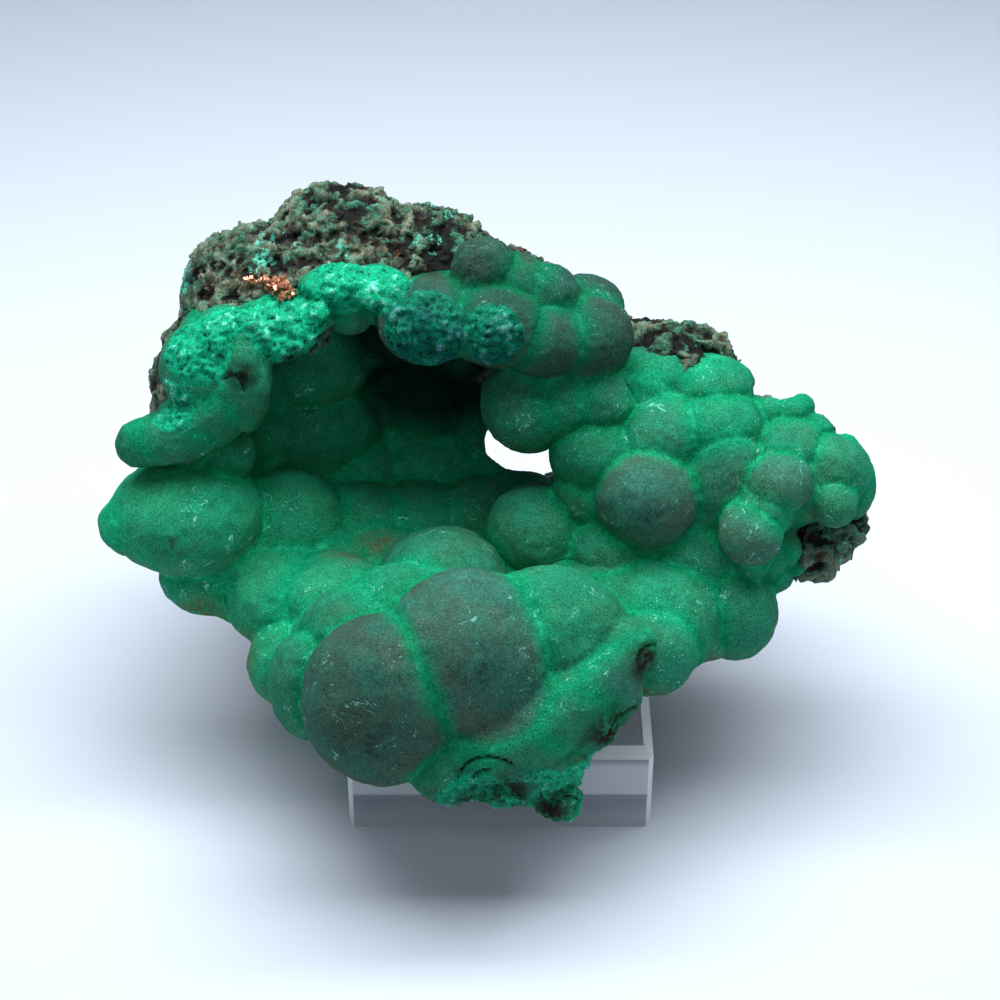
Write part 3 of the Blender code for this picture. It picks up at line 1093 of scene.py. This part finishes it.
    # each lobe's brightness factor: partly its own tone, partly painted light and shade
    colour = shaded(tree, colour, attribute(tree, "shade"))
    tree.links.new(colour, shader.inputs["Base Color"])
    tree.links.new(ramp(tree, broken, ((0.0, 0.8), (1.0, 0.5))), shader.inputs["Roughness"])
    shader.inputs["Specular IOR Level"].default_value = 0.05
    bump = newNode(tree, "ShaderNodeBump", Strength=0.5, Distance=0.0003)
    tree.links.new(plus(tree, grain, mottle), bump.inputs["Height"])
    tree.links.new(bump.outputs["Normal"], shader.inputs["Normal"])
    return material


rockColours = {
    # nearly black: the rock's own dark, with painted shade in its pits
    "pit": (0.002, 0.002, 0.0015),
    "brown": (0.026, 0.019, 0.012),
    "dust": (0.062, 0.064, 0.040),
    "pale": (0.15, 0.17, 0.115),
    "green": (0.008, 0.060, 0.036),
    "teal": (0.010, 0.25, 0.16),
    "crystal": (0.08, 0.50, 0.36),
    "rust": (0.16, 0.045, 0.012),
}


rockNoises = {
    "fine": (420, 5, 0.75, 0.3),
    "patches": (55, 4, 0.6),
    "veins": (130, 7, 0.75, 1.2),
    "shine": (80, 3, 0.6),
    "rust": (190, 3, 0.5, 0.5),
    "grain": (1700, 3, 0.7),
}


def rockMaterial():
    look = rockColours
    material, tree, shader, coords = blankMaterial("pittedRock")
    pattern = {name: noise(tree, coords, *values) for name, values in rockNoises.items()}
    fine, grain = pattern["fine"], pattern["grain"]

    # colour follows the relief: near black in the pits as painted shade over the rock's own dark, pale on
    # the ridges, green in wide patches that darken in the pits too
    rough = plus(tree, attribute(tree, "relief"), peaks(tree, fine, 0.9))
    stoneWithPitShade = ramp(
        tree,
        rough,
        ((0.32, look["pit"]), (0.46, look["brown"]), (0.62, look["dust"]), (0.86, look["pale"])),
    )
    green = mixed(tree, 1.0, look["green"], ramp(tree, rough, ((0.3, 0.05), (0.8, 1.8))), "MULTIPLY")
    colour = mixed(tree, ramp(tree, pattern["patches"], ((0.48, 0.0), (0.62, 0.65))), stoneWithPitShade, green)
    dusty = times(tree, attribute(tree, "dusty"), ramp(tree, fine, ((0.35, 0.3), (0.55, 1.0))))
    colour = mixed(tree, dusty, colour, look["pale"])

    # teal veins along the ridges, a little crystal and a little rust
    veins = sums(tree, "ABSOLUTE", less(tree, pattern["veins"], 0.5), 0)
    veins = ramp(tree, veins, ((0.0, 1.0), (0.02, 0.0)))
    veins = times(tree, veins, ramp(tree, rough, ((0.35, 0.0), (0.55, 1.0))))
    colour = mixed(tree, veins, colour, look["teal"])
    shine = ramp(tree, times(tree, fine, pattern["shine"]), ((0.33, 0.0), (0.4, 1.0)))
    colour = mixed(tree, shine, colour, look["crystal"])
    rust = ramp(tree, pattern["rust"], ((0.7, 0.0), (0.76, 0.9)))
    colour = mixed(tree, rust, colour, look["rust"])

    colour = shaded(tree, colour, ramp(tree, grain, ((0.3, 0.4), (0.7, 1.6)), smooth=False))
    tree.links.new(colour, shader.inputs["Base Color"])
    shader.inputs["Roughness"].default_value = 0.8
    shader.inputs["Specular IOR Level"].default_value = 0.25
    bump = newNode(tree, "ShaderNodeBump", Strength=0.7, Distance=0.0005)
    tree.links.new(plus(tree, grain, fine), bump.inputs["Height"])
    tree.links.new(bump.outputs["Normal"], shader.inputs["Normal"])
    return material


# the block: chamfer and corner in mm, and the tint, alpha and roughness of its three kinds of face;
# the bands paint, at a share of its height, a refraction on its front and back: grey where the shaded floor
# shows through, a dark line, then a bright band
# painted highlight: its chamfers and corners are a brighter, less clear copy of the acrylic
blockLook = {
    "chamfer": 2.5,
    "corner": 1.2,
    "clearAcrylic": {"tint": (0.80, 0.84, 0.90), "alpha": 0.22, "roughness": 0.03},
    "paintedHighlightEdge": {"tint": (0.93, 0.95, 0.98), "alpha": 0.75, "roughness": 0.08},
    "bandedAcrylic": {
        "tint": (0.80, 0.84, 0.90),
        "alpha": 0.5,
        "roughness": 0.03,
        "paintedLightBands": (
            (0.0, (0.62, 0.66, 0.72)),
            (0.34, (0.28, 0.31, 0.36)),
            (0.43, (0.36, 0.39, 0.44)),
            (0.45, (0.95, 0.97, 1.0)),
            (0.80, (0.90, 0.93, 1.0)),
            (0.88, (0.40, 0.44, 0.50)),
        ),
    },
}
acrylicBending = 1.49  # index of refraction


def clearMaterial(name):
    look = blockLook[name]
    material, tree, shader, coords = blankMaterial(name)
    shader.inputs["Base Color"].default_value = (*look["tint"], 1)
    if "paintedLightBands" in look:
        split = tree.nodes.new("ShaderNodeSeparateXYZ")
        tree.links.new(coords, split.inputs[0])
        up = less(tree, split.outputs["Z"], blockLow.z)
        up = sums(tree, "DIVIDE", up, blockHigh.z - blockLow.z)
        tree.links.new(ramp(tree, up, look["paintedLightBands"], smooth=False), shader.inputs["Base Color"])
    shader.inputs["Roughness"].default_value = look["roughness"]
    shader.inputs["IOR"].default_value = acrylicBending
    shader.inputs["Alpha"].default_value = look["alpha"]
    return material


def makeBlock():
    wide = blockHigh.x - blockLow.x
    high = blockHigh.z - blockLow.z
    nothingSelected()
    bpy.ops.mesh.primitive_cube_add(size=1.0, location=(blockLow + blockHigh) / 2, scale=(wide, wide, high))
    block = bpy.context.object
    block.name = "acrylicBlock"
    settle(block)
    mesh = block.data

    def pickEdges(wanted):
        only(block)
        bpy.ops.object.mode_set(mode="EDIT")
        bpy.ops.mesh.select_mode(type="EDGE")
        bpy.ops.mesh.select_all(action="DESELECT")
        bpy.ops.object.mode_set(mode="OBJECT")
        for edge in mesh.edges:
            ends = [mesh.vertices[corner].co for corner in edge.vertices]
            edge.select = wanted(ends)
        bpy.ops.object.mode_set(mode="EDIT")

    pickEdges(lambda ends: abs(ends[0].z - ends[1].z) > high / 2)
    bpy.ops.mesh.bevel(offset=blockLook["corner"] * mm, segments=1)
    bpy.ops.object.mode_set(mode="OBJECT")
    pickEdges(lambda ends: all(end.z > blockHigh.z - 0.1 * mm for end in ends))
    bpy.ops.mesh.bevel(offset=blockLook["chamfer"] * mm, segments=1)
    bpy.ops.object.mode_set(mode="OBJECT")
    for name in ("clearAcrylic", "paintedHighlightEdge", "bandedAcrylic"):
        mesh.materials.append(clearMaterial(name))
    # chamfers and corners take the painted highlight, front and back the painted refraction bands
    for face in mesh.polygons:
        slanted = 0.2 < abs(face.normal.z) < 0.95
        corner = abs(face.normal.x) > 0.2 and abs(face.normal.y) > 0.2
        face.material_index = 1 if slanted or corner else 2 if abs(face.normal.y) > 0.9 else 0
    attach(block, "root")
    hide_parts("display_block")
    print("acrylicBlock")


copperLook = {
    "noise": (900, 3, 0.6),
    "tones": ((0.35, (0.16, 0.05, 0.03)), (0.55, (0.66, 0.30, 0.18)), (0.75, (0.95, 0.62, 0.42))),
    "metallic": 0.75,
    "roughness": 0.32,
    "bevel": 0.12,
}


def copperMaterial():
    material, tree, shader, coords = blankMaterial("nativeCopper")
    patches = noise(tree, coords, *copperLook["noise"])
    tree.links.new(ramp(tree, patches, copperLook["tones"]), shader.inputs["Base Color"])
    shader.inputs["Metallic"].default_value = copperLook["metallic"]
    shader.inputs["Roughness"].default_value = copperLook["roughness"]
    return material


# small crystals along a few short branches: start, end, how many, their size and their spread in mm
copperBranches = {
    "left branch": {"from": (-62, 26, 122), "to": (-57, 24, 123), "count": 24, "size": 1.3, "spread": 0.8},
    "middle": {"from": (-57, 24, 123), "to": (-53, 22, 123), "count": 26, "size": 1.5, "spread": 1.1},
    "head": {"from": (-54, 22, 123), "to": (-51, 20, 121), "count": 54, "size": 1.7, "spread": 1.9},
}


def makeCopper():
    pick = np.random.default_rng(5)
    nothingSelected()
    crystals = []
    for branch in copperBranches.values():
        start, end = np.array(branch["from"]), np.array(branch["to"])
        for count in range(branch["count"]):
            along = pick.random()
            place = start + (end - start) * along + pick.normal(0, branch["spread"] * 0.55, 3)
            size = branch["size"] * pick.uniform(0.55, 1.15)
            bpy.ops.mesh.primitive_cube_add(
                size=1.0,
                location=placeOf(*place),
                rotation=pick.uniform(0, math.pi, 3),
                scale=size * mm * pick.uniform(0.6, 1.0, 3),
            )
            crystals.append(bpy.context.object)
    cluster = joined(crystals, "copperCluster")
    modify(cluster, "BEVEL", width=copperLook["bevel"] * mm, segments=1)
    cluster.data.materials.clear()
    cluster.data.materials.append(copperMaterial())
    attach(cluster, "root")
    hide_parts("copper_crystals")
    print("copperCluster", len(crystals), "crystals")


nothingSelected()
print("stage, camera and lights")
paperFloor()
addCamera()
addLights()
velvet = velvetMaterial()
roughRock = rockMaterial()
for name in crustPieces:
    makeCrust(name)
for name in rockPieces:
    makeRock(name)
makeBlock()
makeCopper()
